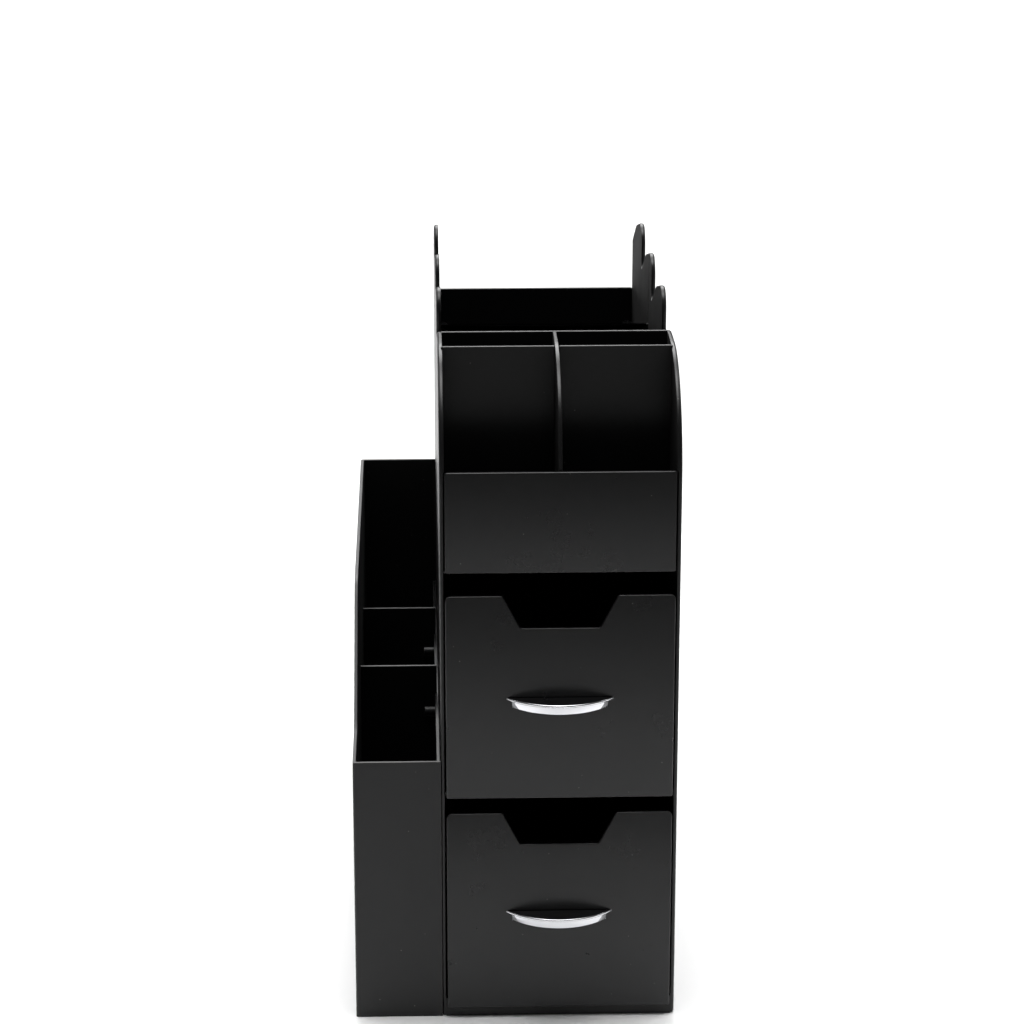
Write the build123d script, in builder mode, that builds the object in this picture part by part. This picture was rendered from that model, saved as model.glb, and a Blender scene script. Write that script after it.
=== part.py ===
from build123d import *
import math
import os

os.makedirs("parts", exist_ok=True)

# A counter caddy: a tall housing with two drawers under open compartments, and a tray down its left side.
# All sizes are in millimetres. +Z is up, -Y is the front, +X is to the right seen from the front.
# The origin is on the table, under the middle of the whole caddy.

# Overall sizes
depth = 291.0
body_width = 102.0
tray_width = 38.0
wall = 1.6
edge_round = 1.2
plate_gap = 0.2

# Scalloped top of the housing's side walls
shoulder_height = 293.5
shoulder_end = 68.0
shoulder_round = 10.0
front_arc = 50.0
tooth_top = 304.0
tooth_slope = 0.25
tooth_round = 10.0
tooth_bend = 36.0
bend_round = 40.0
tooth_count = 3
first_tooth = 96.0
dip_height = 283.0
dip_round = 3.0
liner = 0.5

# Guide ribs, screw bosses and back panel of the housing
rib = 1.2
rib_start = 4.0
back_recess = 1.8
boss_radius = 3.2
boss_sink = 0.4
boss_length = 10.0
back_panel_height = 260.0
back_screw_inset = 20.0

# Drawers
drawer_height = 92.0
drawer_gap = 7.0
drawer_start = 5.0
plinth_lap = 3.5
shelf_lap = 2.5
drawer_back_space = 15.0
drawer_side_drop = 16.0
drawer_side_gap = 0.7
drawer_inset = 1.0
drawer_front = 2.0
drawer_front_gap = 0.3
drawer_top_round = 2.3
drawer_foot_round = 0.8
drawer_edge = 0.5
box_round = 2.5
notch_top = 49.0
notch_bottom = 34.0
notch_depth = 14.5
notch_round = 1.4
glide_height = 0.8
glide_width = 1.6
glide_gap = 0.3
glide_spacing = 60.0

# Bumps that end the drawers' travel
drawer_travel = 190.0
stop_start = 6.0
stop_width = 20.0
stop_length = 2.0
stop_height = 0.7

# Compartments above the drawers
fascia_gap = 9.4
fascia_height = 44.3
fascia_front = 2.0
fascia_side_gap = 0.6
fascia_foot = 9.0
pocket_depth = 39.0
stirrer_depth = 24.0
cup_divider_height = 62.0
cup_divider_dip = 16.0
lap_gap = 0.15

# Half-moon pulls
pull_width = 46.0
pull_reach = 10.6
pull_height = 4.6
pull_level = 46.5
pull_wall = 1.5
pull_plate = 1.3
pull_lip_width = 41.6
pull_lip_reach = 9.9
pull_foot_width = 40.6
pull_foot_reach = 9.4
post_spacing = 20.0
post_radius = 2.0
post_drop = 2.6
post_length = 6.5

# Screws
screw_radius = 1.2
screw_clearance = 0.3
head_radius = 2.4
head_height = 1.0
pilot_spare = 0.5

# Side tray
tray_front_height = 120.4
tray_back_height = 170.0
tray_step_start = 40.0
tray_step_end = 98.0
tray_step_round = 12.0
tray_inner_height = 104.0
napkin_depth = 124.0
utensil_count = 2
tray_divider_drop = 2.4
tray_screw_drop = 9.0
tray_boss_length = 5.0
tray_boss_radius = 2.6
under_screw_level = 3.5
under_screw_share = 0.15

# Worked out from the sizes above
front_y = (drawer_front_gap + drawer_front + pull_reach - depth) / 2
left_x = -(tray_width + body_width) / 2
body_left = left_x + tray_width
body_right = body_left + body_width
body_x = (body_left + body_right) / 2
inner_width = body_width - 2 * wall
plate_width = inner_width - 2 * plate_gap
upper_width = inner_width - 2 * liner
tooth_pitch = (depth - first_tooth) / tooth_count
tooth_corner = tooth_top + tooth_round * (tooth_slope + math.hypot(1, tooth_slope) - 1)
bend_height = tooth_corner - tooth_slope * tooth_bend
drawer_pitch = drawer_height + drawer_gap
drawer_width = inner_width - 2 * drawer_side_gap
box_width = drawer_width - 2 * drawer_inset
floor_top = drawer_start + plinth_lap
shelf_top = drawer_start + drawer_pitch + shelf_lap
fascia_start = drawer_start + drawer_pitch + drawer_height + fascia_gap
deck_top = fascia_start + wall
wall_top = shoulder_height
back_face = depth - back_recess
plate_end = back_face - wall
drawer_length = plate_end + drawer_front_gap - drawer_back_space
drawer_side_height = drawer_height - drawer_side_drop
pocket_wall_at = fascia_front + pocket_depth
stirrer_wall_at = pocket_wall_at + wall + stirrer_depth
cup_divider_at = (stirrer_wall_at + plate_end) / 2
cross_walls = (pocket_wall_at, stirrer_wall_at, cup_divider_at)
stop_bar = stop_start + stop_length + drawer_travel + glide_gap
napkin_end = wall + napkin_depth
bin_depth = (depth - napkin_end - wall) / utensil_count - wall
tray_divider_height = tray_front_height - tray_divider_drop
tray_screw_level = tray_inner_height - tray_screw_drop
tray_dividers = [napkin_end + index * (bin_depth + wall) for index in range(utensil_count)]
LOW = (Align.CENTER, Align.MIN)
CORNER = (Align.MIN, Align.MIN)


# Upright plane along the caddy: x runs back from the front edges and y is height
def side_plane(x):
    return Plane(origin=(x, front_y, 0), x_dir=(0, 1, 0), z_dir=(1, 0, 0))


# Upright plane across the caddy, some way behind the front edges, facing the front
def cross_plane(back, x=body_x):
    return Plane(origin=(x, front_y + back, 0), x_dir=(1, 0, 0), z_dir=(0, -1, 0))


# Level plane: y runs back from the front edges
def level_plane(z, x=body_x):
    return Plane(origin=(x, front_y, z))


# Side outline of a housing wall: an arc at the front, a shoulder and a row of teeth
wall_corners = [(0, 0), (depth, 0), (depth, dip_height)]
wall_rounds = [edge_round, edge_round, edge_round]
for tooth in reversed(range(tooth_count)):
    tooth_start = first_tooth + tooth * tooth_pitch
    wall_corners.append((tooth_start + tooth_bend, bend_height))
    wall_corners.append((tooth_start, tooth_corner))
    wall_corners.append((tooth_start, dip_height))
    wall_rounds += [bend_round, tooth_round, dip_round]
wall_corners += [(shoulder_end, shoulder_height), (0, shoulder_height)]
wall_rounds += [shoulder_round, front_arc]


# Round bar along a plane's normal
def bar(plane, radius, length):
    with BuildPart() as piece:
        with BuildSketch(plane):
            Circle(radius)
        extrude(amount=length)
    return piece.part


def clearance_hole(plane):
    return bar(plane.offset(-wall), screw_radius + screw_clearance, 3 * wall)


# Pan-head screw driven along a plane's normal, its head standing on the plane
def screw(plane, length):
    with BuildPart() as piece:
        add(bar(plane, head_radius, -head_height))
        add(bar(plane, screw_radius, length))
    return piece.part


# The planes that the screws are driven from
boss_x = inner_width / 2 - boss_radius + boss_sink
low_screw = floor_top + back_screw_inset
high_screw = back_panel_height - back_screw_inset
back_screws_at = [
    Plane(origin=(body_x + side * boss_x, front_y + back_face, z), x_dir=(1, 0, 0), z_dir=(0, -1, 0))
    for side in (-1, 1)
    for z in (low_screw, (low_screw + high_screw) / 2, high_screw)
]
tray_screw_places = [(back + wall / 2, tray_screw_level) for back in tray_dividers]
for share in (under_screw_share, 1 - under_screw_share):
    tray_screw_places.append((depth * share, under_screw_level))
tray_screws_at = [
    Plane(origin=(body_left + wall, front_y + back, z), x_dir=(0, 1, 0), z_dir=(-1, 0, 0))
    for back, z in tray_screw_places
]
fascia_screw_y = front_y + fascia_front + fascia_foot / 2
fascia_screws_at = [
    Plane(origin=(body_x + side * upper_width / 3, fascia_screw_y, deck_top - wall))
    for side in (-1, 1)
]
back_screw_length = wall + boss_length - 2 * pilot_spare
tray_screw_length = 2 * wall + tray_boss_length - 2 * pilot_spare
fascia_screw_length = wall + rib + 3.0
pull_screw_length = drawer_front + post_length - 2 * pilot_spare

# Housing: two scalloped side walls, a raised floor and its plinth, moulded in one
with BuildPart() as housing_shell:
    for x in (body_left, body_right - wall):
        with BuildSketch(side_plane(x)):
            with BuildLine():
                FilletPolyline(*wall_corners, radius=wall_rounds, close=True)
            make_face()
        extrude(amount=wall)
    with BuildSketch(level_plane(floor_top - wall)):
        Rectangle(inner_width, depth, align=LOW)
    extrude(amount=wall)
    # Plinth, and ribs across and along the open underside
    with BuildSketch(level_plane(0)):
        for back in (0, depth / 3, depth * 2 / 3, depth - wall):
            with Locations((0, back)):
                Rectangle(inner_width, wall, align=LOW)
        Rectangle(wall, depth, align=LOW)
    extrude(amount=floor_top - wall)
    # Liner that thickens the walls round the compartments, cut back for the fascia and for the cross walls
    for x in (body_left + wall, body_right - wall - liner):
        with BuildSketch(side_plane(x)):
            with BuildLine():
                FilletPolyline(*wall_corners, radius=wall_rounds, close=True)
            make_face()
            Rectangle(depth, deck_top, align=CORNER, mode=Mode.SUBTRACT)
            Rectangle(fascia_front, fascia_start + fascia_height, align=CORNER, mode=Mode.SUBTRACT)
            with Locations((plate_end, 0)):
                Rectangle(depth, tooth_corner, align=CORNER, mode=Mode.SUBTRACT)
            with Locations(*[(back - lap_gap, 0) for back in cross_walls]):
                Rectangle(wall + 2 * lap_gap, tooth_corner, align=CORNER, mode=Mode.SUBTRACT)
        extrude(amount=liner)
    # Ribs under the shelf and the compartment floor, and over the shelf
    for z in (shelf_top - wall - rib, shelf_top, deck_top - wall - rib):
        with BuildSketch(level_plane(z)):
            for side in (-1, 1):
                with Locations((side * (inner_width - rib) / 2, rib_start)):
                    Rectangle(rib, plate_end - rib_start, align=LOW)
        extrude(amount=rib)
    # Bump that stops the lower drawer
    with BuildSketch(level_plane(floor_top)):
        with Locations((0, stop_start)):
            Rectangle(stop_width, stop_length, align=LOW)
    extrude(amount=stop_height)
    for plane in back_screws_at:
        add(bar(plane.offset(wall), boss_radius, boss_length))
        add(bar(plane, screw_radius, back_screw_length + pilot_spare), mode=Mode.SUBTRACT)
    for plane in tray_screws_at:
        add(clearance_hole(plane), mode=Mode.SUBTRACT)
    feet = housing_shell.edges().filter_by(Axis.Y).filter_by(lambda e: e.center().Z < 0.01)
    outer = feet.filter_by(lambda e: abs(e.center().X - body_x) > body_width / 2 - 0.01)
    fillet(outer, edge_round)
housing_shell.part.label = "housing_shell"
export_step(housing_shell.part, "parts/housing_shell.step")

# Back panel, set in from the walls' back edges so that its screw heads stay inside them
with BuildPart() as back_panel:
    with BuildSketch(cross_plane(back_face)):
        with Locations((0, floor_top)):
            Rectangle(plate_width, back_panel_height - floor_top, align=LOW)
    extrude(amount=wall)
    fillet(back_panel.edges().filter_by(Axis.Y).group_by(Axis.Z)[-1], edge_round)
    for plane in back_screws_at:
        add(clearance_hole(plane), mode=Mode.SUBTRACT)
back_panel.part.label = "back_panel"
export_step(back_panel.part, "parts/back_panel.step")

with BuildPart() as back_screws:
    for plane in back_screws_at:
        add(screw(plane, back_screw_length))
back_screws.part.label = "back_screws"
export_step(back_screws.part, "parts/back_screws.step")

# Shelf between the drawers, with the bump that stops the upper drawer
with BuildPart() as drawer_shelf:
    with BuildSketch(level_plane(shelf_top - wall)):
        Rectangle(plate_width, plate_end, align=LOW)
    extrude(amount=wall)
    with BuildSketch(level_plane(shelf_top)):
        with Locations((0, stop_start)):
            Rectangle(stop_width, stop_length, align=LOW)
    extrude(amount=stop_height)
drawer_shelf.part.label = "drawer_shelf"
export_step(drawer_shelf.part, "parts/drawer_shelf.step")

# Floor of the compartments, over the upper drawer
with BuildPart() as compartment_floor:
    with BuildSketch(level_plane(deck_top - wall)):
        with Locations((0, fascia_front)):
            Rectangle(plate_width, plate_end - fascia_front, align=LOW)
    extrude(amount=wall)
    for plane in fascia_screws_at:
        add(clearance_hole(plane), mode=Mode.SUBTRACT)
compartment_floor.part.label = "compartment_floor"
export_step(compartment_floor.part, "parts/compartment_floor.step")

# Fascia across the front of the pockets: a plain face, a foot on the floor and two ribs for the divider
with BuildPart() as front_fascia:
    with BuildSketch(cross_plane(fascia_front)):
        with Locations((0, fascia_start)):
            Rectangle(inner_width - 2 * fascia_side_gap, fascia_height, align=LOW)
        fillet(vertices(), edge_round)
    extrude(amount=fascia_front)
    fillet(front_fascia.faces().sort_by(Axis.Y)[0].edges(), drawer_edge)
    with BuildSketch(level_plane(deck_top)):
        with Locations((0, fascia_front)):
            Rectangle(upper_width - 2 * plate_gap, fascia_foot, align=LOW)
    extrude(amount=rib)
    for plane in fascia_screws_at:
        add(bar(plane.offset(wall), boss_radius, fascia_screw_length - wall + rib))
        add(bar(plane, screw_radius, fascia_screw_length + pilot_spare), mode=Mode.SUBTRACT)
    with BuildSketch(level_plane(deck_top)):
        for side in (-1, 1):
            with Locations((side * (wall + rib + 2 * lap_gap) / 2, fascia_front)):
                Rectangle(rib, 2 * rib, align=LOW)
    extrude(amount=fascia_height - wall - 2 * edge_round)
front_fascia.part.label = "front_fascia"
export_step(front_fascia.part, "parts/front_fascia.step")

with BuildPart() as fascia_screws:
    for plane in fascia_screws_at:
        add(screw(plane, fascia_screw_length))
fascia_screws.part.label = "fascia_screws"
export_step(fascia_screws.part, "parts/fascia_screws.step")

# Cross walls: the back of the pockets, slotted for the divider, and the back of the stirrer slots
cross_wall_height = wall_top - deck_top
lap_height = cross_wall_height / 2
with BuildPart() as pocket_back_wall:
    with BuildSketch(cross_plane(pocket_wall_at + wall)):
        with Locations((0, deck_top)):
            Rectangle(plate_width, cross_wall_height, align=LOW)
        with Locations((0, deck_top + lap_height)):
            Rectangle(wall + 2 * lap_gap, lap_height, align=LOW, mode=Mode.SUBTRACT)
    extrude(amount=wall)
pocket_back_wall.part.label = "pocket_back_wall"
export_step(pocket_back_wall.part, "parts/pocket_back_wall.step")

with BuildPart() as stirrer_back_wall:
    with BuildSketch(cross_plane(stirrer_wall_at + wall)):
        with Locations((0, deck_top)):
            Rectangle(plate_width, cross_wall_height, align=LOW)
    extrude(amount=wall)
stirrer_back_wall.part.label = "stirrer_back_wall"
export_step(stirrer_back_wall.part, "parts/stirrer_back_wall.step")

# Centre divider: its front edge follows the housing's arc, and it laps over the pockets' back wall
with BuildPart() as centre_divider:
    divider_start = fascia_front + lap_gap
    divider_end = stirrer_wall_at - lap_gap
    foot_end = divider_start + fascia_foot
    with BuildSketch(side_plane(body_x - wall / 2)):
        with BuildLine():
            FilletPolyline(
                (divider_start, deck_top),
                (divider_end, deck_top),
                (divider_end, wall_top),
                (divider_start, wall_top),
                radius=[0, 0, 0, front_arc - divider_start],
                close=True,
            )
        make_face()
        Rectangle(foot_end, deck_top + rib + lap_gap, align=CORNER, mode=Mode.SUBTRACT)
        with Locations((pocket_wall_at - lap_gap, deck_top)):
            Rectangle(wall + 2 * lap_gap, lap_height, align=CORNER, mode=Mode.SUBTRACT)
    extrude(amount=wall)
centre_divider.part.label = "centre_divider"
export_step(centre_divider.part, "parts/centre_divider.step")

# Low wall between the two cup bays, dipped in the middle
with BuildPart() as cup_divider:
    with BuildSketch(cross_plane(cup_divider_at + wall)):
        with BuildLine():
            low = deck_top + cup_divider_height - cup_divider_dip
            high = deck_top + cup_divider_height
            Polyline(
                (-upper_width / 2, high),
                (-plate_width / 2, high),
                (-plate_width / 2, deck_top),
                (plate_width / 2, deck_top),
                (plate_width / 2, high),
                (upper_width / 2, high),
            )
            ThreePointArc((-upper_width / 2, high), (0, low), (upper_width / 2, high))
        make_face()
    extrude(amount=wall)
cup_divider.part.label = "cup_divider"
export_step(cup_divider.part, "parts/cup_divider.step")

# Side tray: a narrow bin with its own four walls, raised floor and two dividers, moulded in one
with BuildPart() as side_tray:
    tray_x = left_x + tray_width / 2
    with BuildSketch(side_plane(left_x)):
        with BuildLine():
            FilletPolyline(
                (0, 0),
                (depth, 0),
                (depth, tray_back_height),
                (tray_step_end, tray_back_height),
                (tray_step_start, tray_front_height),
                (0, tray_front_height),
                radius=[0, 0, edge_round, 2 * tray_step_round, tray_step_round, 0],
                close=True,
            )
        make_face()
    extrude(amount=wall)
    with BuildSketch(side_plane(body_left - wall)):
        Rectangle(depth, tray_inner_height, align=CORNER)
    extrude(amount=wall)
    for back, top in ((0, tray_front_height), (depth - wall, tray_back_height)):
        with BuildSketch(cross_plane(back + wall, tray_x)):
            Rectangle(tray_width, top, align=LOW)
        extrude(amount=wall)
    for back in tray_dividers:
        with BuildSketch(cross_plane(back + wall, tray_x)):
            Rectangle(tray_width - wall, tray_divider_height, align=LOW)
        extrude(amount=wall)
    with BuildSketch(level_plane(floor_top - wall, tray_x)):
        Rectangle(tray_width - wall, depth - wall, align=LOW)
    extrude(amount=wall)
    for plane in tray_screws_at:
        add(bar(plane.offset(2 * wall), tray_boss_radius, tray_boss_length))
        add(bar(plane, screw_radius, tray_screw_length + pilot_spare), mode=Mode.SUBTRACT)
    upright = side_tray.edges().filter_by(Axis.Z)
    fillet(upright.sort_by(Axis.X)[0:2], edge_round)
side_tray.part.label = "side_tray"
export_step(side_tray.part, "parts/side_tray.step")

with BuildPart() as tray_screws:
    for plane in tray_screws_at:
        add(screw(plane, tray_screw_length))
tray_screws.part.label = "tray_screws"
export_step(tray_screws.part, "parts/tray_screws.step")


# Plan of a pull: a straight back on the drawer's face and one arc, standing off the face by its base
def half_moon(width, reach, base):
    with BuildSketch() as plan:
        with BuildLine():
            Line((-width / 2, -base), (width / 2, -base))
            ThreePointArc((-width / 2, -base), (0, -reach), (width / 2, -base))
        make_face()
    return plan.sketch


face_back = -drawer_front_gap - drawer_front
for name, start, rest in (
    ("lower", drawer_start, floor_top),
    ("upper", drawer_start + drawer_pitch, shelf_top),
):
    box_bottom = rest + glide_gap + glide_height
    pull_top = start + pull_level
    pull_screws_at = [
        Plane(
            origin=(body_x + side * post_spacing / 2, front_y - drawer_front_gap, pull_top - post_drop),
            x_dir=(1, 0, 0),
            z_dir=(0, -1, 0),
        )
        for side in (-1, 1)
    ]

    # Drawer: an open box behind a wider face that is notched at the top
    with BuildPart() as drawer:
        with BuildSketch(level_plane(box_bottom)):
            with Locations((0, -drawer_front_gap)):
                Rectangle(box_width, drawer_length, align=LOW)
            fillet(vertices().group_by(Axis.Y)[-1], box_round)
        extrude(amount=drawer_side_height)
        with BuildSketch(level_plane(box_bottom + wall)):
            with Locations((0, -drawer_front_gap)):
                Rectangle(box_width - 2 * wall, drawer_length - wall, align=LOW)
            fillet(vertices().group_by(Axis.Y)[-1], box_round - wall)
        extrude(amount=drawer_side_height, mode=Mode.SUBTRACT)
        with BuildSketch(cross_plane(-drawer_front_gap)):
            top = start + drawer_height
            half = drawer_width / 2
            foot_rounds = [drawer_foot_round] * 2
            notch_rounds = [notch_round] * 4
            with BuildLine():
                FilletPolyline(
                    (-half, start),
                    (half, start),
                    (half, top),
                    (notch_top / 2, top),
                    (notch_bottom / 2, top - notch_depth),
                    (-notch_bottom / 2, top - notch_depth),
                    (-notch_top / 2, top),
                    (-half, top),
                    radius=foot_rounds + [drawer_top_round] + notch_rounds + [drawer_top_round],
                    close=True,
                )
            make_face()
        extrude(amount=drawer_front)
        fillet(drawer.faces().sort_by(Axis.Y)[0].edges(), drawer_edge)
        # Glides and the bar that meets the stop
        with BuildSketch(level_plane(box_bottom)):
            with Locations((-glide_spacing / 2, 0), (glide_spacing / 2, 0)):
                Rectangle(glide_width, drawer_length - 2 * box_round, align=LOW)
            with Locations((0, stop_bar)):
                Rectangle(glide_spacing, stop_length, align=LOW)
        extrude(amount=-glide_height)
        for plane in pull_screws_at:
            add(clearance_hole(plane), mode=Mode.SUBTRACT)
    drawer.part.label = name + "_drawer"
    export_step(drawer.part, f"parts/{name}_drawer.step")

    # Pull: a half-moon plate over a narrower lip that tapers inwards, hollow underneath
    with BuildPart() as pull:
        with BuildSketch(level_plane(pull_top - pull_plate)):
            add(half_moon(pull_width, pull_reach - face_back, -face_back))
        extrude(amount=pull_plate)
        with BuildSketch(level_plane(pull_top - pull_plate)):
            add(half_moon(pull_lip_width, pull_lip_reach - face_back, -face_back))
        with BuildSketch(level_plane(pull_top - pull_height)):
            add(half_moon(pull_foot_width, pull_foot_reach - face_back, -face_back))
        loft(ruled=True)
        hollow_reach = pull_foot_reach - pull_wall - face_back
        with BuildSketch(level_plane(pull_top - pull_plate)):
            add(half_moon(pull_foot_width - 2 * pull_wall, hollow_reach, pull_wall - face_back))
        with BuildSketch(level_plane(pull_top - pull_height)):
            add(half_moon(pull_foot_width - 4 * pull_wall, hollow_reach, pull_wall - face_back))
        loft(ruled=True, mode=Mode.SUBTRACT)
        for plane in pull_screws_at:
            add(bar(plane.offset(drawer_front), post_radius, post_length))
            add(bar(plane, screw_radius, pull_screw_length + pilot_spare), mode=Mode.SUBTRACT)
    pull.part.label = name + "_pull"
    export_step(pull.part, f"parts/{name}_pull.step")

    with BuildPart() as pull_screws:
        for plane in pull_screws_at:
            add(screw(plane, pull_screw_length))
    pull_screws.part.label = name + "_pull_screws"
    export_step(pull_screws.part, f"parts/{name}_pull_screws.step")
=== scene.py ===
import math

import bpy
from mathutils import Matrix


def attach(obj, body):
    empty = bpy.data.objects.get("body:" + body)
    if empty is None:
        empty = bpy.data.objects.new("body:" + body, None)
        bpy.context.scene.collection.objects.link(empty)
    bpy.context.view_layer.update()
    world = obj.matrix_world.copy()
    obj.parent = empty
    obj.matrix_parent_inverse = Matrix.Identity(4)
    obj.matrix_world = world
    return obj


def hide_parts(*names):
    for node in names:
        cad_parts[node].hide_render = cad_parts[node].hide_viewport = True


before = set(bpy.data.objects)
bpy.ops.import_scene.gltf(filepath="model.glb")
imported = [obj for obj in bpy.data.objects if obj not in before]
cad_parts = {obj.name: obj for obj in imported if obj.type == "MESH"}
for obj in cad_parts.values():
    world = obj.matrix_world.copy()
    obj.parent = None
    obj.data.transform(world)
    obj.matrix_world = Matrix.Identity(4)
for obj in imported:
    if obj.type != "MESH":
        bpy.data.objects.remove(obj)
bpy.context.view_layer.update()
millimetre = 0.001

# where the photograph was taken from, and how wide the lens sees
cameraSetup = {
    "place": (-0.0399, -1.38795, 0.6264), "turn": -1.764, "tilt": 72.506,
    "lens": 110.0, "sensor": 36.0, "farthest": 60.0,
}

# the softbox over the caddy leaves the floor farther in front dim, and the large one behind it whitens
# the background; places and sizes are in metres, and spreads in degrees
studio = {
    "surround": (1.0, 1.0, 1.0), "surroundStrength": 0.14,
    "lights": {
        "overhead": {
            "place": (0.0, 0.08, 1.0), "aim": (0.0, 0.08, 0.0), "size": 1.1, "power": 2.6, "spread": 55.0},
        "backSweep": {
            "place": (0.0, 3.0, 2.4), "aim": (0.0, 2.3, 0.0), "size": 3.2, "power": 120.0, "spread": 150.0},
        "leftFill": {
            "place": (-1.1, 0.4, 1.1), "aim": (-0.35, 0.3, 0.0), "size": 1.0, "power": 2.5, "spread": 100.0},
        "rightFill": {
            "place": (1.1, 0.4, 1.1), "aim": (0.35, 0.3, 0.0), "size": 1.0, "power": 2.5, "spread": 100.0},
    },
}
floorSetup = {"size": 24.0, "colour": (0.93, 0.93, 0.93), "roughness": 0.8}


def deselectAll():
    if bpy.context.mode != "OBJECT":
        bpy.ops.object.mode_set(mode="OBJECT")
    bpy.ops.object.select_all(action="DESELECT")


def opaque(colour):
    return (*colour, 1.0)


def setCamera(setup):
    bpy.ops.object.camera_add(location=setup["place"])
    camera = bpy.context.object
    camera.name = "photoCamera"
    camera.rotation_euler = (math.radians(setup["tilt"]), 0.0, math.radians(setup["turn"]))
    camera.data.lens = setup["lens"]
    camera.data.sensor_width = setup["sensor"]
    camera.data.clip_end = setup["farthest"]
    bpy.context.scene.camera = camera


def lightStudio(setup):
    world = bpy.data.worlds.new("studioSurround")
    bpy.context.scene.world = world
    world.use_nodes = True
    background = world.node_tree.nodes["Background"]
    background.inputs["Color"].default_value = opaque(setup["surround"])
    background.inputs["Strength"].default_value = setup["surroundStrength"]
    for name, one in setup["lights"].items():
        bpy.ops.object.light_add(type="AREA", location=one["place"])
        light = bpy.context.object
        light.name = name
        light.visible_camera = False
        light.data.shape = "DISK"
        light.data.size = one["size"]
        light.data.energy = one["power"]
        light.data.spread = math.radians(one["spread"])
        aim = [end - start for end, start in zip(one["aim"], one["place"])]
        flat = math.hypot(aim[0], aim[1])
        light.rotation_euler = (math.atan2(flat, -aim[2]), 0.0, math.atan2(aim[1], aim[0]) - math.pi / 2)


# A socket takes a plain value, or is linked to another node's output
def feed(tree, socket, value):
    if isinstance(value, bpy.types.NodeSocket):
        tree.links.new(value, socket)
    else:
        socket.default_value = value


def addNode(tree, kind, inputs=None, **settings):
    node = tree.nodes.new("ShaderNode" + kind)
    for name, value in settings.items():
        setattr(node, name, value)
    for name, value in (inputs or {}).items():
        feed(tree, node.inputs[name], value)
    return node


def mathNode(tree, operation, *values):
    return addNode(tree, "Math", dict(enumerate(values)), operation=operation).outputs[0]


# Of a Mix node's sockets, these are the factor, the two colours and the mixed colour
def mixColours(tree, share, first, second):
    return addNode(tree, "Mix", {0: share, 6: first, 7: second}, data_type="RGBA").outputs[2]


def newMaterial(name):
    material = bpy.data.materials.new(name)
    material.use_nodes = True
    return material, material.node_tree, material.node_tree.nodes["Principled BSDF"].inputs


# An effect that several materials share, with the kinds of its named inputs and outputs
def newEffect(name, inputs, outputs):
    group = bpy.data.node_groups.new(name, "ShaderNodeTree")
    for inOut, sockets in (("INPUT", inputs), ("OUTPUT", outputs)):
        for label, kind in sockets.items():
            group.interface.new_socket(name=label, in_out=inOut, socket_type="NodeSocket" + kind)
    given = group.nodes.new("NodeGroupInput")
    out = group.nodes.new("NodeGroupOutput")
    return group, given.outputs, out.inputs


def layFloor(setup):
    deselectAll()
    bpy.ops.mesh.primitive_plane_add(size=setup["size"])
    floor = bpy.context.object
    floor.name = "studioFloor"
    material, tree, shader = newMaterial("paleFloor")
    shader["Base Color"].default_value = opaque(setup["colour"])
    shader["Roughness"].default_value = setup["roughness"]
    floor.data.materials.append(material)


# What the shared effects look like wherever they are used; a pattern's scale is its steps in a metre,
# and alike is how far the rounded and the true direction of a surface agree
skinPattern = {
    "grainDetail": 2.0, "grainHeight": 0.2 * millimetre,
    "cloudScale": 34.0, "cloudDetail": 7.0, "cloudRoughness": 0.68,
    "dustScale": 150.0, "dustEdge": 0.05, "dustCore": 0.025, "dustColour": (0.09, 0.09, 0.085),
}
# the pale edge colour is partly rubbed wear and partly a painted edge highlight
wearAndHighlightPattern = {
    "samples": 6, "alikeFlat": 0.995, "alikeWornAndHighlighted": 0.9, "colour": (0.075, 0.072, 0.07),
    "patchScale": 130.0, "patchDetail": 3.0, "patchFrom": 0.3, "patchTo": 0.65, "leastWearAndHighlight": 0.35,
}


# Fine moulded grain, soft sheen changes and a few pale dust specks, for every plastic
def makeMouldedSkin(pattern):
    group, given, out = newEffect(
        "mouldedSkin",
        {"Grain Size": "Float", "Grain Depth": "Float", "Roughness": "Float", "Sheen Change": "Float",
         "Plastic": "Color", "Dust Amount": "Float", "Normal": "Vector"},
        {"Color": "Color", "Roughness": "Float", "Normal": "Vector"})
    place = addNode(group, "TexCoord").outputs["Object"]

    grain = addNode(group, "TexNoise", {
        "Vector": place, "Scale": given["Grain Size"], "Detail": pattern["grainDetail"]})
    bump = addNode(group, "Bump", {
        "Distance": pattern["grainHeight"], "Strength": given["Grain Depth"],
        "Height": grain.outputs["Fac"], "Normal": given["Normal"]})
    feed(group, out["Normal"], bump.outputs["Normal"])

    cloud = addNode(group, "TexNoise", {
        "Vector": place, "Scale": pattern["cloudScale"], "Detail": pattern["cloudDetail"],
        "Roughness": pattern["cloudRoughness"]})
    centred = mathNode(group, "SUBTRACT", cloud.outputs["Fac"], 0.5)
    sheen = mathNode(group, "MULTIPLY_ADD", centred, given["Sheen Change"], given["Roughness"])
    feed(group, out["Roughness"], sheen)

    dust = addNode(group, "TexVoronoi", {"Vector": place, "Scale": pattern["dustScale"]})
    speck = addNode(group, "MapRange", {
        "Value": dust.outputs["Distance"], "From Min": pattern["dustEdge"], "From Max": pattern["dustCore"]})
    chance = addNode(group, "SeparateColor", {"Color": dust.outputs["Color"]}).outputs["Red"]
    rare = mathNode(group, "LESS_THAN", chance, given["Dust Amount"])
    mask = mathNode(group, "MULTIPLY", speck.outputs["Result"], rare)
    feed(group, out["Color"], mixColours(group, mask, given["Plastic"], opaque(pattern["dustColour"])))
    return group
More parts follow.
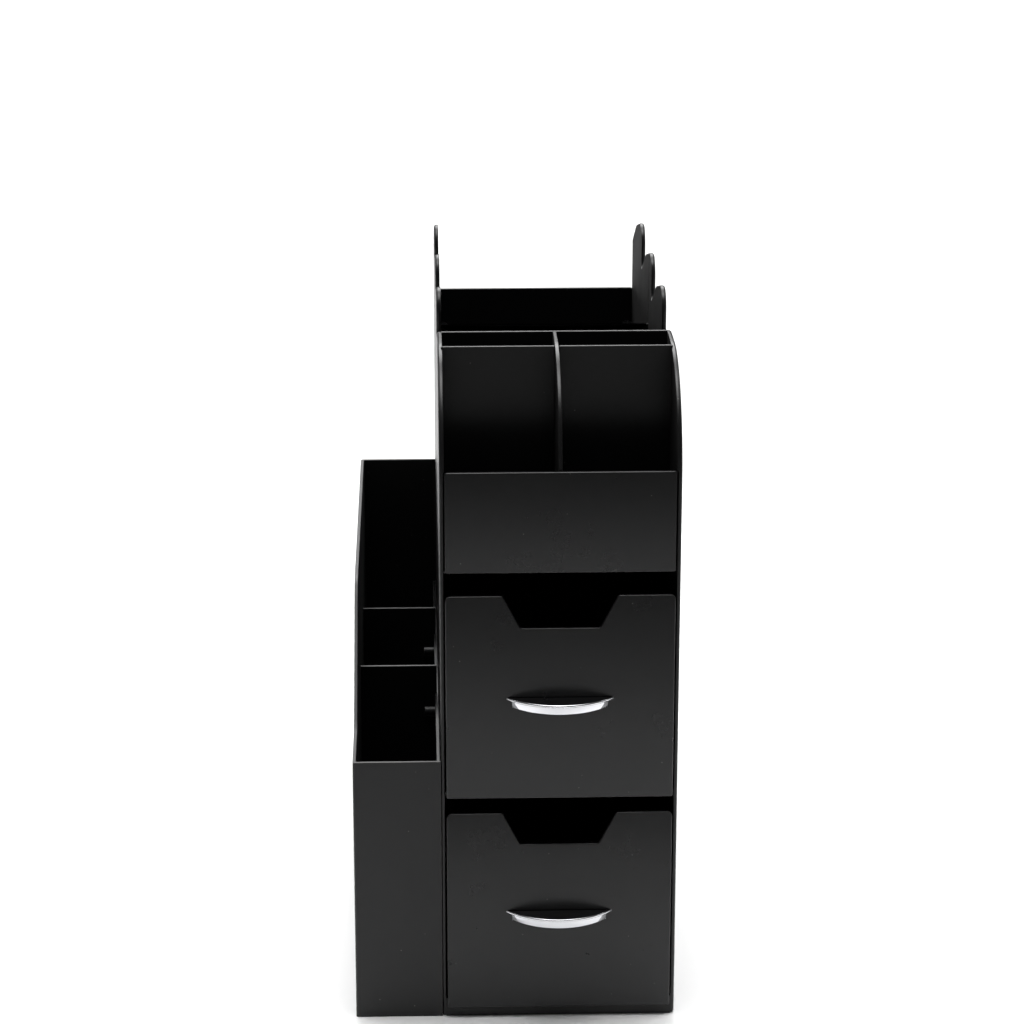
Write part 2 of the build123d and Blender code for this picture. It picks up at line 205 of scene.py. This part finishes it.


# Edges turn a little paler, in broken patches: partly wear where hands rub, partly a painted highlight along
# the edge
def makeEdgeWearAndHighlight(pattern):
    group, given, out = newEffect("edgeWearAndHighlight", {"Width": "Float", "Amount": "Float"}, {"Wear And Highlight": "Float"})
    surface = addNode(group, "NewGeometry")
    rounded = addNode(group, "Bevel", {"Radius": given["Width"]}, samples=pattern["samples"])
    alike = addNode(group, "VectorMath", {
        0: rounded.outputs["Normal"], 1: surface.outputs["Normal"]}, operation="DOT_PRODUCT")
    edge = addNode(group, "MapRange", {
        "Value": alike.outputs["Value"], "From Min": pattern["alikeFlat"], "From Max": pattern["alikeWornAndHighlighted"]})
    patches = addNode(group, "TexNoise", {
        "Vector": addNode(group, "TexCoord").outputs["Object"],
        "Scale": pattern["patchScale"], "Detail": pattern["patchDetail"]})
    broken = addNode(group, "MapRange", {
        "Value": patches.outputs["Fac"], "From Min": pattern["patchFrom"], "From Max": pattern["patchTo"],
        "To Min": pattern["leastWearAndHighlight"]})
    wornAndHighlighted = mathNode(group, "MULTIPLY", edge.outputs["Result"], broken.outputs["Result"])
    feed(group, out["Wear And Highlight"], mathNode(group, "MULTIPLY", wornAndHighlighted, given["Amount"]))
    return group


# A moulded panel isn't quite flat: it swells a little towards its middle height. The group also gives how
# far down the panel a point lies, for the painted reflection that pales its foot
def makePanelCrown():
    group, given, out = newEffect(
        "panelCrown",
        {"Middle": "Float", "Half Height": "Float", "Crown": "Float"},
        {"Normal": "Vector", "Painted Reflection Share": "Float"})
    place = addNode(group, "TexCoord").outputs["Object"]
    level = addNode(group, "SeparateXYZ", {"Vector": place}).outputs["Z"]
    fromMiddle = mathNode(group, "SUBTRACT", level, given["Middle"])
    share = mathNode(group, "DIVIDE", fromMiddle, given["Half Height"])
    lower = addNode(group, "MapRange", {
        "Value": share, "From Min": 1.0, "From Max": -1.0}, interpolation_type="SMOOTHSTEP")
    feed(group, out["Painted Reflection Share"], lower.outputs["Result"])
    squared = mathNode(group, "MULTIPLY", share, share)
    drop = mathNode(group, "MULTIPLY", squared, given["Crown"])
    bump = addNode(group, "Bump", {"Distance": 1.0, "Height": drop}, invert=True)
    feed(group, out["Normal"], bump.outputs["Normal"])
    return group


def makePlastic(name, look, skin, crown, wearAndHighlight):
    material, tree, shader = newMaterial(name)
    if "crown" in look:
        # a painted reflection: the colour turns paler towards the foot of the panel, standing in for the
        # bright floor mirrored there
        panel = addNode(tree, "Group", node_tree=crown)
        panel.inputs["Middle"].default_value = look["middle"]
        panel.inputs["Half Height"].default_value = look["halfHeight"]
        panel.inputs["Crown"].default_value = look["crown"]
        plastic = mixColours(
            tree, panel.outputs["Painted Reflection Share"], opaque(look["colour"]), opaque(look["paintedReflectionColour"]))
    else:
        panel = addNode(tree, "NewGeometry")
        plastic = opaque(look["colour"])
    surface = addNode(tree, "Group", node_tree=skin)
    surface.inputs["Grain Size"].default_value = look["grainSize"]
    surface.inputs["Grain Depth"].default_value = look["grainDepth"]
    surface.inputs["Roughness"].default_value = look["roughness"]
    surface.inputs["Sheen Change"].default_value = look["sheenChange"]
    surface.inputs["Dust Amount"].default_value = look["dust"]
    feed(tree, surface.inputs["Plastic"], plastic)
    feed(tree, surface.inputs["Normal"], panel.outputs["Normal"])
    # edges are painted paler here: partly rubbed wear, partly a painted edge highlight
    rubbedAndHighlighted = addNode(tree, "Group", node_tree=wearAndHighlight)
    rubbedAndHighlighted.inputs["Width"].default_value = look["wearAndHighlightWidth"]
    rubbedAndHighlighted.inputs["Amount"].default_value = look["wearAndHighlight"]
    wornAndHighlighted = mixColours(tree, rubbedAndHighlighted.outputs["Wear And Highlight"], surface.outputs["Color"], opaque(wearAndHighlightPattern["colour"]))
    shader["IOR"].default_value = look["ior"]
    feed(tree, shader["Base Color"], wornAndHighlighted)
    feed(tree, shader["Roughness"], surface.outputs["Roughness"])
    feed(tree, shader["Normal"], surface.outputs["Normal"])
    return material


def makeMetal(name, look):
    material, tree, shader = newMaterial(name)
    shader["Metallic"].default_value = 1.0
    smear = addNode(tree, "TexNoise", {
        "Vector": addNode(tree, "TexCoord").outputs["Object"],
        "Scale": look["smearScale"], "Detail": look["smearDetail"]}).outputs["Fac"]
    brightest, dullest = look["roughness"]
    shine = addNode(tree, "MapRange", {"Value": smear, "To Min": brightest, "To Max": dullest})
    tone = mixColours(tree, smear, opaque(look["colour"]), opaque(look["dullColour"]))
    feed(tree, shader["Roughness"], shine.outputs["Result"])
    feed(tree, shader["Base Color"], tone)
    return material


# Black plastics: the housing has the shallowest grain, and the fronts and the tray have the most edge wear
# and painted edge highlight;
# middle and halfHeight are the level and half the height of a panel, in metres, and each front is painted
# paler towards its foot as a painted reflection
bodySurface = {"sheenChange": 0.16, "dust": 0.5, "wearAndHighlight": 0.35, "wearAndHighlightWidth": 0.4 * millimetre}
handledAndHighlightedSurface = {"dust": 0.6, "wearAndHighlight": 0.9, "wearAndHighlightWidth": 0.5 * millimetre}
frontSurface = {
    "colour": (0.003, 0.003, 0.0033), "ior": 1.42, "roughness": 0.3, "sheenChange": 0.22,
    "grainSize": 2600.0, "grainDepth": 0.08, **handledAndHighlightedSurface,
}
plastics = {
    "housingPlastic": {
        "colour": (0.0035, 0.0035, 0.0038), "ior": 1.4, "roughness": 0.32,
        "grainSize": 2200.0, "grainDepth": 0.06, **bodySurface},
    "innerPlastic": {
        "colour": (0.003, 0.003, 0.0032), "ior": 1.25, "roughness": 0.75,
        "grainSize": 1800.0, "grainDepth": 0.12, **bodySurface},
    "fasciaPlastic": {
        "middle": 0.227, "halfHeight": 0.022, "crown": 0.001,
        "paintedReflectionColour": (0.010, 0.010, 0.0105), **frontSurface},
    "upperFrontPlastic": {
        "middle": 0.150, "halfHeight": 0.046, "crown": 0.0022,
        "paintedReflectionColour": (0.011, 0.011, 0.0115), **frontSurface},
    "lowerFrontPlastic": {
        "middle": 0.051, "halfHeight": 0.046, "crown": 0.0028,
        "paintedReflectionColour": (0.013, 0.013, 0.0135), **frontSurface},
    "trayPlastic": {
        "colour": (0.005, 0.005, 0.0054), "ior": 1.42, "roughness": 0.38, "sheenChange": 0.16,
        "grainSize": 2400.0, "grainDepth": 0.08, **handledAndHighlightedSurface},
}
metals = {
    "chromePlate": {
        "colour": (0.78, 0.78, 0.8), "dullColour": (0.66, 0.67, 0.7), "roughness": (0.02, 0.09),
        "smearScale": 180.0, "smearDetail": 5.0},
    "zincScrew": {
        "colour": (0.55, 0.55, 0.54), "dullColour": (0.4, 0.41, 0.42), "roughness": (0.25, 0.45),
        "smearScale": 900.0, "smearDetail": 5.0},
}

bpy.context.scene.view_settings.view_transform = "Standard"
setCamera(cameraSetup)
lightStudio(studio)
layFloor(floorSetup)
print("camera, light and floor are in place")

effects = (makeMouldedSkin(skinPattern), makePanelCrown(), makeEdgeWearAndHighlight(wearAndHighlightPattern))
finishes = {name: makePlastic(name, look, *effects) for name, look in plastics.items()}
finishes.update({name: makeMetal(name, look) for name, look in metals.items()})
print("finishes are made")


def selectOnly(*pieces):
    deselectAll()
    for piece in pieces:
        piece.select_set(True)
    bpy.context.view_layer.objects.active = pieces[0]


def linkPiece(name, mesh):
    piece = bpy.data.objects.new(name, mesh)
    bpy.context.scene.collection.objects.link(piece)
    selectOnly(piece)
    return piece


def applyModifier(piece, kind, **settings):
    modifier = piece.modifiers.new(kind, kind)
    for name, value in settings.items():
        setattr(modifier, name, value)
    bpy.ops.object.modifier_apply(modifier=modifier.name)


def applyPlace():
    bpy.ops.object.transform_apply(location=True, rotation=True, scale=True)


def editMesh(elements):
    bpy.ops.object.mode_set(mode="EDIT")
    bpy.ops.mesh.select_mode(type=elements)


def leaveMesh():
    bpy.ops.object.mode_set(mode="OBJECT")


def selectFaces(piece, chosen):
    bpy.ops.mesh.select_all(action="DESELECT")
    leaveMesh()
    for face in piece.data.polygons:
        face.select = chosen(face)
    editMesh("FACE")


def keepPiece(piece, name, body, slot, *nodes):
    piece.name = name
    piece.data.name = name
    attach(piece, body)
    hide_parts(*nodes)


# Mouldings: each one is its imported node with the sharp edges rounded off, as a mould leaves them;
# angles are in degrees, and edges lower than aboveTable stay sharp
edgeRounding = {
    "width": 0.3 * millimetre, "segments": 2, "sharper": 35.0, "aboveTable": 3.0 * millimetre,
    "merge": 0.002 * millimetre, "flatWithin": 0.6, "smoothBelow": 30.0,
}
# the short straight steps that a curved outline is packed as, and how much of each becomes a curve
curveRounding = {
    "stepLength": (0.6 * millimetre, 9.0 * millimetre), "stepTurn": (2.0, 34.0),
    "thinnestRim": 0.1 * millimetre, "alongAxis": 0.999, "squareWithin": 0.01,
    "percent": 33.0, "segments": 3,
}
# matt faces look sideways, and don't lie at the x of a piece's outermost faces
mattFaces = {"sideways": 0.99, "within": 0.1 * millimetre}
housingPiece = {"body": "housing", "slot": "housing_plastic", "finish": "housingPlastic"}
mouldings = {
    "housing_shell": {
        **housingPiece, "name": "housingMoulding", "inner": "innerPlastic",
        "outermost": (-32.0 * millimetre, 70.0 * millimetre)},
    "side_tray": {
        "body": "housing", "slot": "tray_plastic", "finish": "trayPlastic",
        "name": "trayMoulding", "inner": "innerPlastic", "outermost": (-70.0 * millimetre,)},
    "front_fascia": {**housingPiece, "name": "fasciaPlate", "finish": "fasciaPlastic"},
    "pocket_back_wall": {**housingPiece, "name": "pocketWall"},
    "stirrer_back_wall": {**housingPiece, "name": "stirrerWall"},
    "centre_divider": {**housingPiece, "name": "pocketDivider", "inner": "innerPlastic", "outermost": ()},
    "cup_divider": {**housingPiece, "name": "bayDivider"},
    "compartment_floor": {**housingPiece, "name": "bayFloor"},
    "drawer_shelf": {**housingPiece, "name": "shelfPlate"},
    "back_panel": {**housingPiece, "name": "rearPanel"},
    "upper_drawer": {
        "body": "upper_drawer", "slot": "drawer_plastic", "finish": "upperFrontPlastic",
        "name": "upperDrawerMoulding"},
    "lower_drawer": {
        "body": "lower_drawer", "slot": "drawer_plastic", "finish": "lowerFrontPlastic",
        "name": "lowerDrawerMoulding"},
}


# Edges across the thin rim of a curved outline, where its short straight steps meet
def findCurveSteps(mesh, rounding):
    shortest, longest = rounding["stepLength"]
    least, most = (math.radians(angle) for angle in rounding["stepTurn"])
    along = {}
    for edge in mesh.edges:
        for corner in edge.vertices:
            along.setdefault(corner, []).append(edge)
    found = []
    for edge in mesh.edges:
        ends = [mesh.vertices[corner] for corner in edge.vertices]
        across = ends[1].co - ends[0].co
        straight = max(abs(across.x), abs(across.y)) >= rounding["alongAxis"] * across.length
        if across.length < rounding["thinnestRim"] or not straight:
            continue
        steps = []
        for end in ends:
            others = [other for other in along[end.index] if other.index != edge.index]
            lines = [mesh.vertices[sum(other.vertices) - end.index].co - end.co for other in others]
            lines = [line for line in lines
                     if abs(line.dot(across)) < rounding["squareWithin"] * line.length * across.length]
            if len(lines) == 2:
                steps.append((lines, math.pi - lines[0].angle(lines[1])))
        if len(steps) == 2 and all(least < turn < most for lines, turn in steps):
            if all(shortest < line.length < longest for lines, turn in steps for line in lines):
                found.append(edge.index)
    return found


def bevelByWeight(piece, chosen, segments, **width):
    weights = piece.data.attributes.get("bevel_weight_edge") or piece.data.attributes.new(
        "bevel_weight_edge", "FLOAT", "EDGE")
    for edge in piece.data.edges:
        weights.data[edge.index].value = 0.0
    for index in chosen:
        weights.data[index].value = 1.0
    applyModifier(piece, "BEVEL", segments=segments, limit_method="WEIGHT", use_clamp_overlap=False, **width)


def findSharpEdges(mesh, rounding):
    editMesh("EDGE")
    bpy.ops.mesh.select_all(action="DESELECT")
    bpy.ops.mesh.edges_select_sharp(sharpness=math.radians(rounding["sharper"]))
    leaveMesh()
    return [edge.index for edge in mesh.edges if edge.select
            and min(mesh.vertices[corner].co.z for corner in edge.vertices) > rounding["aboveTable"]]


# The broad faces inside the compartments are matt, and the outermost ones keep their gloss
def mattInside(mesh, finish, outermost, setup):
    mesh.materials.append(finish)
    for face in mesh.polygons:
        outside = any(abs(face.center.x - x) < setup["within"] for x in outermost)
        face.material_index = 1 if abs(face.normal.x) > setup["sideways"] and not outside else 0


def roundMoulding(node, setup, rounding, curves):
    piece = linkPiece(setup["name"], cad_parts[node].data.copy())
    mesh = piece.data
    editMesh("EDGE")
    bpy.ops.mesh.select_all(action="SELECT")
    bpy.ops.mesh.remove_doubles(threshold=rounding["merge"])
    bpy.ops.mesh.dissolve_limited(angle_limit=math.radians(rounding["flatWithin"]))
    leaveMesh()
    curveSteps = findCurveSteps(mesh, curves)
    if curveSteps:
        bevelByWeight(
            piece, curveSteps, curves["segments"], offset_type="PERCENT", width_pct=curves["percent"])
    sharp = findSharpEdges(mesh, rounding)
    bevelByWeight(piece, sharp, rounding["segments"], width=rounding["width"])
    print(setup["name"], "has", len(curveSteps), "curve steps and", len(sharp), "sharp edges softened")
    mesh.materials.clear()
    mesh.materials.append(finishes[setup["finish"]])
    if "inner" in setup:
        mattInside(mesh, finishes[setup["inner"]], setup["outermost"], mattFaces)
    bpy.ops.object.shade_smooth_by_angle(angle=math.radians(rounding["smoothBelow"]))
    applyModifier(piece, "WEIGHTED_NORMAL", keep_sharp=True)
    keepPiece(piece, setup["name"], setup["body"], setup["slot"], node)


for node, setup in mouldings.items():
    roundMoulding(node, setup, edgeRounding, curveRounding)
print("mouldings have their soft edges")

# Pulls: a half-moon plate over a narrower lip that tapers inwards, hollow underneath, with two screw posts;
# lengths are in millimetres and angles in degrees
pullShape = {
    "middle": 19.0, "face": -141.35, "tops": {"lower": 51.5, "upper": 150.5}, "vertices": 256,
    "plateWidth": 46.0, "plateReach": 10.6, "plateThickness": 1.3, "plateRound": 0.6, "plateSegments": 6,
    "lipWidth": 41.6, "lipReach": 9.9, "footWidth": 40.6, "footReach": 9.4, "height": 4.6, "lap": 0.3,
    "rim": 1.3, "hollowDepth": 3.1, "lipRound": 0.25, "lipSegments": 3,
    "postRadius": 2.0, "postDrop": 2.6, "postSpacing": 20.0, "postLength": 6.5, "postVertices": 32,
    "postRound": 0.2, "postSegments": 2, "roundAbove": 40.0, "smoothBelow": 35.0,
}
facing = 0.9  # how much of a face's normal has to point upwards or downwards


# Half-moon slab: a round one, cut off flat where it meets the drawer's face
def halfMoon(shape, width, reach, top, thickness):
    radius = ((width / 2) ** 2 + reach ** 2) / (2 * reach)
    deselectAll()
    bpy.ops.mesh.primitive_cylinder_add(
        vertices=shape["vertices"], radius=radius * millimetre, depth=thickness * millimetre,
        location=(shape["middle"] * millimetre, (shape["face"] - reach + radius) * millimetre,
                  (top - thickness / 2) * millimetre))
    applyPlace()
    editMesh("FACE")
    bpy.ops.mesh.select_all(action="SELECT")
    bpy.ops.mesh.bisect(plane_co=(0.0, shape["face"] * millimetre, 0.0), plane_no=(0.0, 1.0, 0.0),
                        use_fill=True, clear_outer=True)
    leaveMesh()
    return bpy.context.object


def roundEdges(piece, shape, part):
    applyModifier(
        piece, "BEVEL", width=shape[part + "Round"] * millimetre, segments=shape[part + "Segments"],
        limit_method="ANGLE", angle_limit=math.radians(shape["roundAbove"]), use_clamp_overlap=False)


def modelPlate(top, shape):
    plate = halfMoon(shape, shape["plateWidth"], shape["plateReach"], top, shape["plateThickness"])
    roundEdges(plate, shape, "plate")
    return plate


def modelLip(top, shape):
    lipTop = top - shape["plateThickness"] + shape["lap"]
    lipHeight = shape["height"] - shape["plateThickness"] + shape["lap"]
    foot = (shape["middle"] * millimetre, shape["face"] * millimetre, (top - shape["height"]) * millimetre)
    lip = halfMoon(shape, shape["lipWidth"], shape["lipReach"], lipTop, lipHeight)
    editMesh("FACE")
    selectFaces(lip, lambda face: face.normal.z < -facing)
    bpy.ops.transform.resize(
        value=(shape["footWidth"] / shape["lipWidth"], shape["footReach"] / shape["lipReach"], 1.0),
        center_override=foot)
    bpy.ops.mesh.inset(thickness=shape["rim"] * millimetre, depth=0.0)
    bpy.ops.mesh.extrude_region_move(
        TRANSFORM_OT_translate={"value": (0.0, 0.0, shape["hollowDepth"] * millimetre)})
    leaveMesh()
    roundEdges(lip, shape, "lip")
    return lip


def modelPost(side, top, shape):
    deselectAll()
    bpy.ops.mesh.primitive_cylinder_add(
        vertices=shape["postVertices"], radius=shape["postRadius"] * millimetre,
        depth=shape["postLength"] * millimetre, rotation=(math.radians(90.0), 0.0, 0.0),
        location=((shape["middle"] + side * shape["postSpacing"] / 2) * millimetre,
                  (shape["face"] - shape["postLength"] / 2) * millimetre,
                  (top - shape["postDrop"]) * millimetre))
    applyPlace()
    post = bpy.context.object
    roundEdges(post, shape, "post")
    return post


def modelPull(which, top, shape):
    plate = modelPlate(top, shape)
    lip = modelLip(top, shape)
    posts = [modelPost(side, top, shape) for side in (-1, 1)]
    selectOnly(plate, lip, *posts)
    bpy.ops.object.join()
    bpy.ops.object.shade_smooth_by_angle(angle=math.radians(shape["smoothBelow"]))
    plate.data.materials.append(finishes["chromePlate"])
    keepPiece(plate, which + "HalfMoonPull", which + "_drawer", "chrome_plate", which + "_pull")


for which, top in pullShape["tops"].items():
    modelPull(which, top, pullShape)
print("pulls are modelled")

# Screws: a pan head with a cross recess over a plain shank, modelled once for each set and copied;
# lengths are in millimetres and angles in degrees, and each screw of a set is rolled a step further
screwShape = {
    "headRadius": 2.4, "headHeight": 1.0, "panRound": 0.45, "panSegments": 4,
    "shankRadius": 1.2, "tip": 0.8, "tipShare": 0.45,
    "recessWidth": 0.6, "recessReach": 2.9, "recessDepth": 0.55, "recessTaper": 0.7,
    "vertices": 32, "rollStep": 37.0, "smoothBelow": 35.0,
}
# the turns that point an upright screw to the front or to the left, or leave it as it is
forwards = (90.0, 0.0, 0.0)
leftwards = (0.0, -90.0, 0.0)
upwards = (0.0, 0.0, 0.0)
screwSets = {
    "back_screws": {
        "name": "rearPanelScrews", "body": "housing", "turn": forwards, "length": 10.6,
        "places": [(x, 150.15, z) for x in (-27.6, 65.6) for z in (28.5, 134.25, 240.0)]},
    "tray_screws": {
        "name": "trayScrews", "body": "housing", "turn": leftwards, "length": 7.2,
        "places": [(-30.4, -12.65, 95.0), (-30.4, 69.25, 95.0), (-30.4, -95.4, 3.5), (-30.4, 108.3, 3.5)]},
    "fascia_screws": {
        "name": "fasciaScrews", "body": "housing", "turn": upwards, "length": 5.8,
        "places": [(-13.6, -132.55, 205.4), (51.6, -132.55, 205.4)]},
    "upper_pull_screws": {
        "name": "upperPullScrews", "body": "upper_drawer", "turn": forwards, "length": 7.5,
        "places": [(9.0, -139.35, 147.9), (29.0, -139.35, 147.9)]},
    "lower_pull_screws": {
        "name": "lowerPullScrews", "body": "lower_drawer", "turn": forwards, "length": 7.5,
        "places": [(9.0, -139.35, 48.9), (29.0, -139.35, 48.9)]},
}


# One arm of the cross recess, narrower towards its bottom inside the head
def cutRecess(screw, shape, turn):
    deselectAll()
    bpy.ops.mesh.primitive_cube_add(
        size=1.0, location=(0.0, 0.0, -shape["headHeight"] * millimetre),
        rotation=(0.0, 0.0, math.radians(turn)),
        scale=(shape["recessReach"] * millimetre, shape["recessWidth"] * millimetre,
               2 * shape["recessDepth"] * millimetre))
    cutter = bpy.context.object
    editMesh("FACE")
    selectFaces(cutter, lambda face: face.normal.z > facing)
    bpy.ops.transform.resize(value=(shape["recessTaper"], shape["recessTaper"], 1.0))
    selectOnly(screw)
    applyModifier(screw, "BOOLEAN", operation="DIFFERENCE", object=cutter)
    bpy.data.objects.remove(cutter)


# One screw at the origin, driven upwards, with its head below
def modelScrew(shape, length):
    deselectAll()
    bpy.ops.mesh.primitive_cylinder_add(
        vertices=shape["vertices"], radius=shape["headRadius"] * millimetre,
        depth=shape["headHeight"] * millimetre, location=(0.0, 0.0, -shape["headHeight"] / 2 * millimetre))
    applyPlace()
    screw = bpy.context.object
    editMesh("FACE")
    selectFaces(screw, lambda face: face.normal.z > facing)
    bpy.ops.mesh.inset(thickness=(shape["headRadius"] - shape["shankRadius"]) * millimetre, depth=0.0)
    bpy.ops.mesh.extrude_region_move(
        TRANSFORM_OT_translate={"value": (0.0, 0.0, (length - shape["tip"]) * millimetre)})
    bpy.ops.mesh.extrude_region_move(TRANSFORM_OT_translate={"value": (0.0, 0.0, shape["tip"] * millimetre)})
    bpy.ops.transform.resize(value=(shape["tipShare"], shape["tipShare"], 1.0))
    selectFaces(screw, lambda face: face.normal.z < -facing)
    bpy.ops.mesh.bevel(offset=shape["panRound"] * millimetre, segments=shape["panSegments"],
                       affect="EDGES", clamp_overlap=True)
    leaveMesh()
    for turn in (0.0, 90.0):
        cutRecess(screw, shape, turn)
    return screw


def driveScrews(node, setup, shape):
    master = modelScrew(shape, setup["length"])
    driven = []
    for index, place in enumerate(setup["places"]):
        copy = linkPiece(setup["name"], master.data.copy())
        copy.rotation_euler = (0.0, 0.0, math.radians(index * shape["rollStep"]))
        applyPlace()
        copy.rotation_euler = [math.radians(angle) for angle in setup["turn"]]
        copy.location = [along * millimetre for along in place]
        applyPlace()
        driven.append(copy)
    bpy.data.objects.remove(master)
    selectOnly(*driven)
    bpy.ops.object.join()
    bpy.ops.object.shade_smooth_by_angle(angle=math.radians(shape["smoothBelow"]))
    driven[0].data.materials.append(finishes["zincScrew"])
    keepPiece(driven[0], setup["name"], setup["body"], "screw_steel", node)


for node, setup in screwSets.items():
    driveScrews(node, setup, screwShape)
print("screws are driven")

visible = [node for node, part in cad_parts.items() if not part.hide_render]
print("nodes still shown:", visible or "none")
